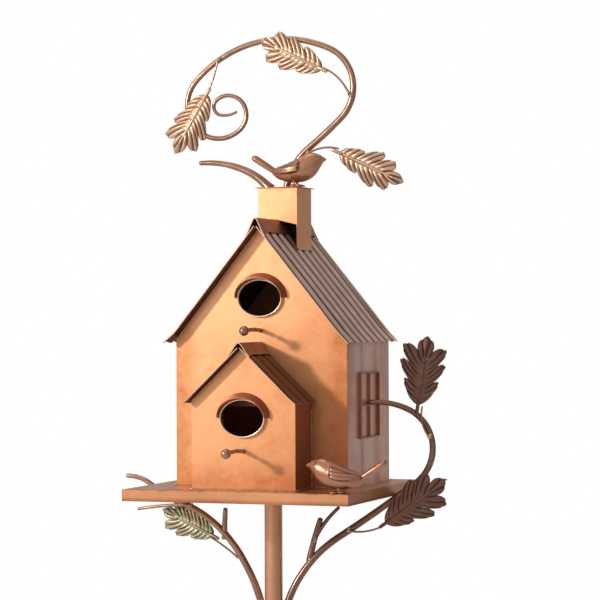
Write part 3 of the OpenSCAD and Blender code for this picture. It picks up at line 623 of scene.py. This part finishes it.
def leaf_mesh(name, x, z, y, heading, length, width, seed, turn=0.0, relief=1.0, broad=1.0):
    """A lobed leaf pressed from sheet: fingers fan from a raised midrib, three to a lobe."""
    rng = random.Random(seed)
    sizes = [[rng.uniform(0.90, 1.05) for _ in range(5)] for _ in range(2)]
    slips = [rng.uniform(-0.03, 0.03) for _ in range(2)]
    stations, reaches = 132, 16
    spine = 0.74 * length
    points, depth, faces = [], [], []

    def vein(side, u):
        """Where a vein leaves the midrib, its direction and its length."""
        phase = u * LOBES + slips[side] * math.sin(math.pi * u)
        lobe = phase % 1.0
        finger = abs(math.sin(3 * math.pi * lobe))
        size = sizes[side][min(4, int(phase))]
        swell = 0.50 + 0.50 * smooth(u / 0.45)
        swell *= 1 - 0.26 * smooth((u - 0.70) / 0.30)
        reach = 0.68 * broad * width * swell * size
        reach *= 0.60 + 0.40 * math.sin(math.pi * lobe) ** 0.6
        reach *= 0.93 + 0.07 * finger ** 0.5
        lean = math.radians(66 - 14 * smooth(u / 0.6)) * (1 - max(0, (u - 0.6) / 0.4) ** 2.2)
        return spine * u ** 0.92, lean, reach, finger, lobe

    for face in (1, -1):
        for side, sign in enumerate((1, -1)):
            base = len(points)
            for i in range(stations + 1):
                u = i / stations
                start, lean, reach, finger, lobe = vein(side, u)
                fold = math.sin(math.pi * lobe) ** 0.5
                for j in range(reaches + 1):
                    a = (j / reaches) ** 1.25
                    bend = lean * (1.12 - 0.24 * a)
                    px = start + reach * a * math.cos(bend)
                    py = sign * reach * a * math.sin(bend)
                    rise = smooth(a * 2.2) * (1 - 0.35 * smooth((a - 0.75) * 4))
                    ridge = (finger ** 0.75 - 0.55) * 1.9 + (fold - 0.6) * 1.3
                    rib = 1.5 * math.exp(-(py / 1.15) ** 2) * (1 - 0.75 * min(1, px / length))
                    cup = -0.010 * py * py - 0.00176 * (px - 0.45 * length) ** 2
                    height = ridge * rise * relief + rib + cup
                    points.append((px, py, height + face * 0.35))
                    depth.append(smooth(1.15 - 1.3 * finger) * smooth(a * 2.5)
                                 + 0.8 * smooth(1 - abs(abs(py) - 1.7) / 0.9) * (1 - a) ** 0.3)
            row = reaches + 1
            for i in range(stations):
                for j in range(reaches):
                    p = base + i * row + j
                    quad = (p, p + row, p + row + 1, p + 1)
                    faces.append(quad if sign * face > 0 else quad[::-1])
    row = reaches + 1
    sheet = (stations + 1) * row
    for side in (0, 1):
        top, low = side * sheet, (side + 2) * sheet
        border = list(range(row)) + [i * row + reaches for i in range(1, stations + 1)]
        for p, q in zip(border, border[1:]):
            quad = (top + p, top + q, low + q, low + p)
            faces.append(quad if side == 0 else quad[::-1])
    angle = math.radians(heading)
    run = Vector((math.cos(angle), 0, math.sin(angle)))
    rise = Vector((-math.sin(angle), 0, math.cos(angle)))
    spin = Matrix.Rotation(math.radians(turn), 3, "Z")
    origin = Vector((x, y, z))

    def put(p):
        spot = origin + run * p[0] + rise * p[1] - Vector((0, p[2], 0))
        return spin @ (spot * MM) + Vector((0, 0, tray_top))

    mesh = new_mesh(name, [put(p) for p in points], faces, depth, 2e-6)
    route = [put((s, 0, 0.3)) for s in (-7, -5, -2, 1, 4)]
    collar = [r * MM for r in (1.75, 1.95, 2.0, 1.9, 1.4)]
    socket = tube(name + "_socket", *rounded_ends(route, collar), 14)
    return joined(name, [mesh, socket])


def make_leaves():
    rise = leaf_rise
    branch = {"turn": BRANCH_TURN, "relief": 0.5, "broad": 1.1}
    rows = [
        ("scroll_leaf_left", "leaf", 3, (-88, 421 + rise, scroll_leaf_y - 1.2, 238, 70, 46), {}),
        ("scroll_leaf_top", "leaf", 5, (44, 444 + rise, scroll_leaf_y - 1.2, 154, 78, 39), {}),
        ("scroll_leaf_right", "leaf", 8, (63, 354 + rise, scroll_leaf_y, -25, 82, 38), {}),
        ("right_leaf_upper", "dark_leaf", 11, (154, 84, STEM_Y, 82, 66, 46), branch),
        ("right_leaf_lower", "dark_leaf", 14, (119, -41, LEAF_Y - 1, 35, 76, 42), branch),
        ("left_branch_leaf", "green_leaf", 17, (-72, -57, -LEAF_Y, 155, 64, 38), {}),
    ]
    for node, finish, seed, place, extra in rows:
        mesh = leaf_mesh(node + "_pressed", *place, seed=seed, **extra)
        finish_piece(mesh, node + "_pressed", finish, (node,))


# ---- Birds ----

# Sections of a bird from the tip of its beak to its rump: x, z, half height, half width, in mm.
BIRD = [
    (37.0, 28.2, 0.4, 0.4), (35.8, 28.4, 1.5, 1.4), (34.2, 28.4, 2.5, 2.4), (32.6, 28.2, 3.4, 3.3),
    (30.8, 27.5, 5.6, 5.0), (28, 25.9, 8.2, 7.0), (25, 24.3, 10.9, 8.8), (21, 22.8, 13.2, 10.2),
    (16.5, 21.2, 14.2, 11.4), (11, 19.2, 13.9, 12.4), (5, 17.4, 12.8, 12.9), (-1, 16.0, 11.6, 12.6),
    (-7, 15.2, 10.0, 11.4), (-12, 15.0, 8.4, 9.8), (-17, 15.2, 6.6, 7.6), (-21, 15.8, 4.6, 5.4),
    (-24, 16.6, 2.4, 3.2), (-25.6, 17.0, 0.5, 0.8)]


def curve_through(rows, t):
    """A smooth value between the rows of a list, by Catmull-Rom."""
    n = len(rows) - 1
    s = min(max(t * n, 0), n - 1e-6)
    i = int(s)
    f = s - i
    near = [rows[min(max(k, 0), n)] for k in (i - 1, i, i + 1, i + 2)]
    return [0.5 * (2 * q + (r - p) * f + (2 * p - 5 * q + 4 * r - v) * f * f
                   + (3 * q - p - 3 * r + v) * f ** 3) for p, q, r, v in zip(*near)]


def plumage(x, up):
    """Relief and shade of the feathers: quills on the folded wing, small scales elsewhere."""
    wing = smooth((up + 0.30) / 0.25) * smooth((0.80 - up) / 0.25)
    wing *= smooth((12 - x) / 5) * smooth((x + 24) / 4)
    quill = math.cos(TAU * (up * 3.2 + x * 0.035))
    row = x * 0.30 + up * 1.2
    scale = math.sin(TAU * row) * math.cos(TAU * (up * 4 + 0.5 * math.floor(row)))
    front = smooth((19 - x) / 7) * smooth((x + 22) / 8) * (1 - wing)
    lift = 1.5 * wing + 0.45 * quill * wing + 0.40 * scale * front
    shade = smooth(0.25 - 0.55 * quill) * wing + smooth(0.2 - 0.6 * scale) * front * 0.7
    rim = wing * (1 - wing) * 3.2
    return lift, min(1.0, shade + rim)


def bird_mesh(name, origin, turn):
    """A cast bird: a full body, folded wings, a long paddle tail, eyes and feet."""
    rings, sides = 130, 64
    eye_x, eye_z, foot_x = 26.4, 30.6, 2
    points, depth = [], []
    for i in range(rings + 1):
        x, z, tall, wide = curve_through(BIRD, i / rings)
        for j in range(sides):
            up, out = math.sin(TAU * j / sides), math.cos(TAU * j / sides)
            lift, shade = plumage(x, up)
            points.append(Vector((x, out * (wide + lift), z + up * (tall + lift * 0.4))))
            depth.append(shade if -25 < x < 20 else 0.0)
    meshes = [new_mesh(name, points, ring_faces(rings + 1, sides), depth)]
    for side in (-1, 1):
        meshes.append(ball_mesh(name + "_eye", (eye_x, side * 6.7, eye_z), 1.6, (1, 0.75, 1)))
        turns = [TAU * k / 20 for k in range(21)]
        ring = [Vector((eye_x + 2.3 * math.cos(a), side * (6.9 - 0.12 * math.cos(a)),
                        eye_z + 2.3 * math.sin(a))) for a in turns]
        meshes.append(tube(name + "_lid", ring, [0.42] * len(ring), 8))
        foot_y = side * 5
        meshes.append(tube(name + "_leg", [Vector((foot_x, foot_y, z)) for z in (0.5, 3, 6, 9)],
                           [1.7, 1.3, 1.5, 2.2], 10))
        for toe, spread in ((8, 3), (8.5, 0), (7, -3), (-5, 0)):
            spots = [Vector((foot_x + toe * share, foot_y + spread * share, z))
                     for share, z in ((0, 1.3), (0.6, 1.5), (1, 0.8))]
            meshes.append(tube(name + "_toe", spots, [1.4, 1.2, 0.7], 8))
    meshes.append(tail_mesh(name + "_tail"))
    mesh = joined(name, meshes)
    scale = Matrix.Scale(MM, 4)
    spin = Matrix.Rotation(math.radians(turn), 4, "Z")
    mesh.transform(Matrix.Translation(origin) @ spin @ scale)
    return mesh


def ball_mesh(name, centre, radius, stretch):
    build = bmesh.new()
    bmesh.ops.create_uvsphere(build, u_segments=18, v_segments=12, radius=radius)
    for v in build.verts:
        v.co = Vector(centre) + v.co * Vector(stretch)
    mesh = bpy.data.meshes.new(name)
    build.to_mesh(mesh)
    build.free()
    return mesh


def tail_mesh(name):
    """A long paddle of tail feathers that rises to the back, with a groove down its middle."""
    cuts, sides, length = 34, 28, 38.5
    start, rise = Vector((-15, 0, 12.5)), math.radians(33)
    back = Vector((-math.cos(rise), 0, math.sin(rise)))
    lift = Vector((math.sin(rise), 0, math.cos(rise)))
    points = []
    for i in range(cuts + 1):
        u = i / cuts
        close = math.sqrt(max(0.0, 1 - max(0.0, (u - 0.86) / 0.14) ** 2)) * 0.96 + 0.04
        half = (3.9 + 2.5 * smooth(u * 1.5)) * close
        tall = (3.2 + 0.5 * smooth(u * 1.5)) * close
        for j in range(sides):
            a = TAU * j / sides
            v, w = math.cos(a), math.sin(a)
            groove = 0.9 * math.exp(-(v / 0.22) ** 2)
            groove += 0.35 * math.exp(-((abs(v) - 0.55) / 0.12) ** 2)
            height = w * (tall - groove * smooth(u * 4) * close)
            points.append(start + back * (length * u) + Vector((0, v * half, 0)) + lift * height)
    return new_mesh(name, points, ring_faces(cuts + 1, sides))


def make_birds():
    stack_spot = Vector((17 * MM, stack_y - 18 * MM, stack_top))
    corner = Vector((tray_high.x - 10 * MM, tray_low.y + 9 * MM, tray_top))
    finish_piece(bird_mesh("stack_bird", stack_spot, 0), "stack_bird", "bird", ("chimney_bird",))
    finish_piece(bird_mesh("corner_bird", corner, 184), "corner_bird", "bird", ("platform_bird",))


# ---- Sheet metal ----

def plain_sheets():
    """Sheets that keep their CAD shape, with rounded edges."""
    rows = {
        "wall": ["front_wall", "back_wall", "porch_front_wall", "chimney"],
        "side": ["left_wall", "right_wall"],
        "cap": ["left_window_frame", "right_window_frame", "left_window_bars",
                "right_window_bars"],
        "porch_side": ["porch_left_wall", "porch_right_wall"],
        "tray": ["tray", "chimney_cap"],
    }
    rooms = {"front_wall": house_middle, "back_wall": house_middle, "left_wall": house_middle,
             "right_wall": house_middle, "porch_front_wall": porch_middle,
             "porch_left_wall": porch_middle, "porch_right_wall": porch_middle}
    # Painted light by facing: the windows' outward faces take a painted highlight, and the right
    # faces of the chimney and its cap, which lie in shade, take the side copper.
    turned = {node: "sheet_edge" for node in rows["cap"]}
    turned.update(chimney="side", chimney_cap="side")
    for finish, nodes in rows.items():
        for node in nodes:
            folded_sheet(node, finish, 0.25 if "window" in node else 0.35,
                         room=rooms.get(node), facing_light_finish=turned.get(node))
    folded_sheet("cleanout_door", "wall", 0.3, body="door")


def carried_over():
    """CAD pieces that keep their own meshes and only take a finish."""
    finishes = {"ground_spike": "steel", "fork_hub": "steel", "fork_prongs": "steel",
                "flange_nuts": "steel", "lower_pole": "tube", "middle_pole": "tube",
                "upper_pole": "tube", "pole_flange": "tray", "flange_screws": "edge",
                "wall_hinge_leaf": "tray", "door_hinge_leaf": "tray", "hinge_pin": "edge",
                "button_stud": "edge", "turn_button": "tray"}
    for node, finish in finishes.items():
        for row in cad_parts[node].material_slots:
            row.link = "OBJECT"
            row.material = FINISH[finish]


MAIN_ANGLE = math.radians(51)
PORCH_ANGLE = math.radians(43.8)
ROOF_ANGLES = {"roof_left": MAIN_ANGLE, "roof_right": MAIN_ANGLE,
               "porch_roof_left": PORCH_ANGLE, "porch_roof_right": PORCH_ANGLE}


def roof_frame(node):
    """A roof sheet's normal and way down, with how far its points lie along each."""
    angle = ROOF_ANGLES[node]
    side = -1 if "left" in node else 1
    normal = Vector((side * math.sin(angle), 0, math.cos(angle)))
    down = Vector((side * math.cos(angle), 0, -math.sin(angle)))
    corners = [v.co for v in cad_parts[node].data.vertices]
    return normal, down, [normal.dot(c) for c in corners], [down.dot(c) for c in corners]


def ribbed_sheet(node, finish, ribs, kick, extra=0.0):
    """A ribbed roof sheet, laid in the place of its CAD sheet, that kicks out at the eave."""
    normal, down, levels, runs = roof_frame(node)
    low, high = (Vector(c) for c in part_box(node))
    base, rib_h = min(levels), max(levels) - min(levels) - SHEET
    setback = 1.5 * MM
    first, last = min(runs) + setback, max(runs) + extra * MM
    rows, cols = 30, ribs * 20
    points, depth = [], []
    for face in (1, 0):
        for i in range(rows + 1):
            s = i / rows
            for j in range(cols + 1):
                t = j / cols
                crest = (0.5 - 0.5 * math.cos(TAU * ribs * t)) ** 1.25
                flare = kick * MM * smooth((s - 0.84) / 0.16) ** 2
                seed = 7 if "left" in node else 2
                buckle = 0.5 * MM * noise.noise(Vector((s * 3.1, t * 5.3, seed)))
                lift = rib_h * crest + flare + buckle * smooth(s * 4) * smooth((1 - s) * 6)
                along = first + (last - first) * s
                spot = normal * (base + lift + face * SHEET) + down * along
                points.append(Vector((spot.x, low.y + t * (high.y - low.y), spot.z)))
                depth.append(smooth(1.05 - crest * 1.5))
    faces, kinds = skin_faces(rows, cols)
    mesh = new_mesh(node + "_ribbed", points, faces, depth)
    # Second finish: painted shade on the sheet's underside; third: painted highlight on its cut
    # edges.
    piece = finish_piece(mesh, node + "_ribbed", finish + " under sheet_edge", (node,))
    mesh.polygons.foreach_set("material_index", kinds)
    soften(piece, 50)


def ridge_strip(node, roof, finish, crest_gap):
    """A ridge cap: a strip folded over a round bend, pressed down on the roof at its borders."""
    low, high = (Vector(c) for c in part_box(node))
    levels = roof_frame(roof)[2]
    slope, upright = math.tan(ROOF_ANGLES[roof]), math.cos(ROOF_ANGLES[roof])
    crest = max(levels) / upright
    valley = (max(levels) - min(levels) - SHEET) / upright
    overhang, bend = 2.2 * MM, 3 * MM
    reach = high.x + overhang
    apex = high.z + crest_gap * MM
    spare = apex - crest - SHEET / upright + slope * bend
    count, cuts = 16, 44
    length = high.y - low.y
    points = []
    for i in range(cuts + 1):
        t = i / cuts
        t = smooth(t) * 0.35 + t * 0.65
        y = low.y + length * t
        pressed = valley * (1 - smooth(min(t, 1 - t) * length / (11 * MM)))
        ring = []
        for k in range(-count, count + 1):
            x = reach * k / count
            share = abs(x) / reach
            over = spare * (1 - smooth(share)) + 0.6 * MM * share
            z = crest + SHEET / upright - slope * math.hypot(x, bend) + over
            z -= pressed * smooth(share * 1.1)
            dent = 0.25 * MM * noise.noise(Vector((x * 70, y * 50, 3)))
            ring.append((x, z + dent))
        under = []
        for k in range(len(ring) - 1, -1, -1):
            a, b = ring[max(k - 1, 0)], ring[min(k + 1, len(ring) - 1)]
            along = Vector((b[0] - a[0], b[1] - a[1])).normalized()
            under.append((ring[k][0] + along.y * SHEET, ring[k][1] - along.x * SHEET))
        points += [(x, y, z) for x, z in ring + under]
    mesh = new_mesh(node + "_folded", points, ring_faces(cuts + 1, 2 * (2 * count + 1)))
    piece = finish_piece(mesh, node + "_folded", finish + " under sheet_edge", (node,))
    # Downward faces take the painted shade of the underside, and the end faces the painted
    # highlight of the sheet edge.
    for face in mesh.polygons:
        if abs(face.normal.y) > 0.8:
            face.material_index = 2
        elif face.normal.z < 0:
            face.material_index = 1
    soften(piece, 40)


def soften(piece, angle):
    """Smooth shading, with its sharp folds kept."""
    for face in piece.data.polygons:
        face.use_smooth = True
    piece.data.set_sharp_from_angle(angle=math.radians(angle))


BOX_FACES = [(0, 1, 3, 2), (4, 6, 7, 5), (0, 4, 5, 1), (2, 3, 7, 6), (0, 2, 6, 4), (1, 5, 7, 3)]


def make_gap_shades():
    """Near-black strips of painted shade between each gable wall's top and the ribs above it, and a
    near-black sheet of painted shade in the chimney.
    """
    meshes = []
    lap, above, strip = 2 * MM, 0.4 * MM, 0.7 * MM
    ridge_inset, eave_inset = 5 * MM, 9 * MM
    for wall, over in (("front_wall", ""), ("back_wall", ""), ("porch_front_wall", "porch_")):
        plate = [v.co.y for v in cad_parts[wall].data.vertices if v.co.z > tray_top + 20 * MM]
        plate_y = min(plate) - 0.8 * MM if wall == "back_wall" else max(plate) + 0.1 * MM
        for roof in (over + "roof_left", over + "roof_right"):
            normal, down, levels, runs = roof_frame(roof)
            low, first, last = min(levels), min(runs), max(runs)
            rib_h = max(levels) - low - SHEET
            points = []
            for along in (first + ridge_inset, last - eave_inset):
                for up in (-lap, rib_h + above):
                    for y in (plate_y, plate_y + strip):
                        spot = normal * (low + up) + down * along
                        points.append((spot.x, y, spot.z))
            meshes.append(new_mesh("gap_shade", points, BOX_FACES))
    chimney_shade = [(x, stack_y + y, stack_low.z - z) for x in (-20 * MM, 20 * MM)
              for z in (4 * MM, 62 * MM) for y in (-0.4 * MM, 0.4 * MM)]
    meshes.append(new_mesh("chimney_shade", chimney_shade, BOX_FACES))
    finish_piece(joined("gable_gap_shades", meshes), "gable_gap_shades", "inside",
                 smooth=False)


def bead_group():
    """Geometry nodes that lay lumpy solder beads along a line of edges."""
    group = bpy.data.node_groups.new("solder_beads", "GeometryNodeTree")
    face = group.interface
    face.new_socket("Geometry", in_out="INPUT", socket_type="NodeSocketGeometry")
    for label, kind in (("Size", "NodeSocketFloat"), ("Spacing", "NodeSocketFloat"),
                        ("Seed", "NodeSocketInt"), ("Finish", "NodeSocketMaterial")):
        face.new_socket(label, in_out="INPUT", socket_type=kind)
    face.new_socket("Geometry", in_out="OUTPUT", socket_type="NodeSocketGeometry")
    nodes = group.nodes
    start, end = nodes.new("NodeGroupInput"), nodes.new("NodeGroupOutput")
    curve = nodes.new("GeometryNodeMeshToCurve")
    spread = nodes.new("GeometryNodeResampleCurve")
    spread.mode = "LENGTH"
    drop = nodes.new("GeometryNodeMeshIcoSphere")
    drop.inputs["Subdivisions"].default_value = 2
    size = nodes.new("FunctionNodeRandomValue")
    size.data_type = "FLOAT_VECTOR"
    size.inputs[0].default_value = (0.7, 0.7, 0.55)
    size.inputs[1].default_value = (1.5, 1.3, 1.1)
    lay = nodes.new("GeometryNodeInstanceOnPoints")
    real = nodes.new("GeometryNodeRealizeInstances")
    shade = nodes.new("GeometryNodeSetShadeSmooth")
    paint = nodes.new("GeometryNodeSetMaterial")
    wire(group, (start, "Geometry", curve, "Mesh"), (curve, "Curve", spread, "Curve"),
         (start, "Spacing", spread, "Length"), (spread, "Curve", lay, "Points"),
         (start, "Size", drop, "Radius"), (drop, "Mesh", lay, "Instance"),
         (start, "Seed", size, "Seed"), (size, 0, lay, "Scale"),
         (lay, "Instances", real, "Geometry"), (real, "Geometry", shade, "Geometry"),
         (shade, "Geometry", paint, "Geometry"), (start, "Finish", paint, "Material"),
         (paint, "Geometry", end, "Geometry"))
    return group


def lay_beads(name, lines, size, spacing, seed):
    """One piece of solder beads along several polylines, in metres."""
    points, edges = [], []
    for line in lines:
        first = len(points)
        points += [tuple(p) for p in line]
        edges += [(first + i, first + i + 1) for i in range(len(line) - 1)]
    guide = bpy.data.meshes.new(name + "_line")
    guide.from_pydata(points, edges, [])
    holder = bpy.data.objects.new(name + "_line", guide)
    bpy.context.collection.objects.link(holder)
    group = bead_group()
    modifier = holder.modifiers.new("beads", "NODES")
    modifier.node_group = group
    values = {"Size": size, "Spacing": spacing, "Seed": seed, "Finish": FINISH["solder"]}
    for item in group.interface.items_tree:
        if item.in_out == "INPUT" and item.name in values:
            modifier[item.identifier] = values[item.name]
    graph = bpy.context.evaluated_depsgraph_get()
    mesh = bpy.data.meshes.new_from_object(holder.evaluated_get(graph))
    bpy.data.objects.remove(holder)
    piece = bpy.data.objects.new(name, mesh)
    bpy.context.collection.objects.link(piece)
    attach(piece, "house")


def make_solder():
    """Solder along the walls' feet and up the porch, and lumps where rods and stems meet."""
    floor = tray_top + 0.4 * MM
    porch_low, porch_high = (Vector(c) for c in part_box("porch_front_wall"))
    side = wall_high.x
    back = Vector(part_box("back_wall")[1]).y
    porch = porch_high.x
    lines = [
        [(-porch, wall_low.y, floor), (-porch - 0.3 * MM, porch_low.y, floor),
         (porch, porch_low.y, floor), (porch + 0.3 * MM, wall_low.y, floor)],
        [(-porch, wall_low.y, floor), (-side, wall_low.y, floor), (-side, back, floor)],
        [(porch, wall_low.y, floor), (side, wall_low.y, floor), (side, back, floor)],
        [(porch + 0.2 * MM, wall_low.y, floor + up) for up in (0, 80 * MM)],
    ]
    lay_beads("foot_solder", lines, 0.85 * MM, 1.3 * MM, 4)
    joints = []
    for x, z, y in ((-75, 458 + leaf_rise, scroll_leaf_y), (77, 414 + leaf_rise, scroll_leaf_y),
                    (27, 353 + leaf_rise, scroll_leaf_y), (2, stack_z, scroll_y)):
        spot = Vector((x, y, z)) * MM + Vector((0, 0, tray_top))
        joints.append([spot, spot + Vector((0.8, 1.2, 2.4)) * MM])
    spin = Matrix.Rotation(math.radians(BRANCH_TURN), 3, "Z")
    for x, z, y in ((166, 50, STEM_Y), (80, -49, STEM_Y), (38, -82, -3), (44, -60, -3)):
        spot = spin @ (Vector((x, y, z)) * MM) + Vector((0, 0, tray_top))
        joints.append([spot, spot + Vector((0.6, 0.6, 2.4)) * MM])
    lay_beads("joint_solder", joints, 1.9 * MM, 1.3 * MM, 9)


def make_roofs():
    ribbed_sheet("roof_left", "roof", 8, 3.4, 1.5)
    ribbed_sheet("roof_right", "roof", 8, 1.2, 0.5)
    ribbed_sheet("porch_roof_left", "porch_roof", 3, 0.8)
    ribbed_sheet("porch_roof_right", "porch_roof", 3, 0.4)
    ridge_strip("ridge_cap", "roof_left", "cap", 1.0)
    ridge_strip("porch_ridge_cap", "porch_roof_left", "cap", 0.4)


# ---- Entrances ----

def oval_spot(centre, wide, tall, angle, y):
    return Vector((math.cos(angle) * wide, y, centre + math.sin(angle) * tall))


def make_rim(node):
    """A short oval collar with a rolled front edge."""
    low, high = (Vector(c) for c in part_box(node))
    centre = (low.z + high.z) / 2
    wide, tall = (high.x - low.x) / 2, (high.z - low.z) / 2
    wall, lip = 1.7 * MM, 0.7 * MM
    back, front = high.y, low.y + lip
    profile = [(0, back), (0, front)]
    profile += [(-wall / 2 + wall / 2 * math.cos(a), front - lip * math.sin(a))
                for a in (0.5, 1.05, math.pi / 2, 2.1, 2.65)]
    profile += [(-wall, front), (-wall, back)]
    count = 96
    points = []
    for i in range(count):
        a = TAU * i / count
        points += [oval_spot(centre, wide + o, tall + o, a, y) for o, y in profile]
    mesh = new_mesh(node + "_collar", points, ring_faces(count, len(profile), looped=True))
    # The collar takes the bright edge copper: a painted highlight.
    soften(finish_piece(mesh, node + "_collar", "edge", (node,)), 60)


def make_hood(node, rim):
    """A visor over the top of an entrance, flared to the wall."""
    low, high = (Vector(c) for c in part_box(node))
    rim_low, rim_high = (Vector(c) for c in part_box(rim))
    centre = low.z
    wide, tall = (high.x - low.x) / 2, high.z - low.z
    gap = 1.2 * MM
    front_wide = (rim_high.x - rim_low.x) / 2 + gap
    front_tall = (rim_high.z - rim_low.z) / 2 + gap
    steps, rows = 64, 10
    points = []
    for face in (0, 1):
        for i in range(steps + 1):
            a = math.pi * i / steps
            for j in range(rows + 1):
                t = j / rows
                w = wide + (front_wide - wide) * t - face * SHEET
                h = tall + (front_tall - tall) * t ** 0.9 - face * SHEET
                y = high.y + (low.y - high.y) * t * (0.55 + 0.45 * math.sin(a) ** 0.5)
                points.append(oval_spot(centre, w, h, a, y))
    mesh = new_mesh(node + "_visor", points, skin_faces(steps, rows)[0])
    soften(finish_piece(mesh, node + "_visor", "hood", (node,)), 50)


def make_perch(node):
    low, high = (Vector(c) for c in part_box(node))
    radius = (high.z - low.z) / 2
    z = (low.z + high.z) / 2
    ball = low.y + radius
    rod_r, arch, count = 2.3 * MM, 1.1 * MM, 18
    shares = [i / count for i in range(count + 1)]
    route = [Vector((0, high.y + (ball - high.y) * t, z + arch * math.sin(math.pi * t)))
             for t in shares]
    stem = tube(node, route, [rod_r * (1 - 0.12 * t) for t in shares], 16, 0.02)
    knob = ball_mesh(node, (0, ball, z), radius, (1, 1, 1))
    finish_piece(joined(node + "_forged", [stem, knob]), node + "_forged", "rod", (node,))


def make_entrances():
    for place in ("upper", "lower"):
        make_rim(place + "_rim")
        make_hood(place + "_hood", place + "_rim")
        make_perch(place + "_perch")


add_camera()
add_studio()
add_floor()
carried_over()
plain_sheets()
make_roofs()
make_entrances()
make_rods()
make_leaves()
make_birds()
make_gap_shades()
make_solder()
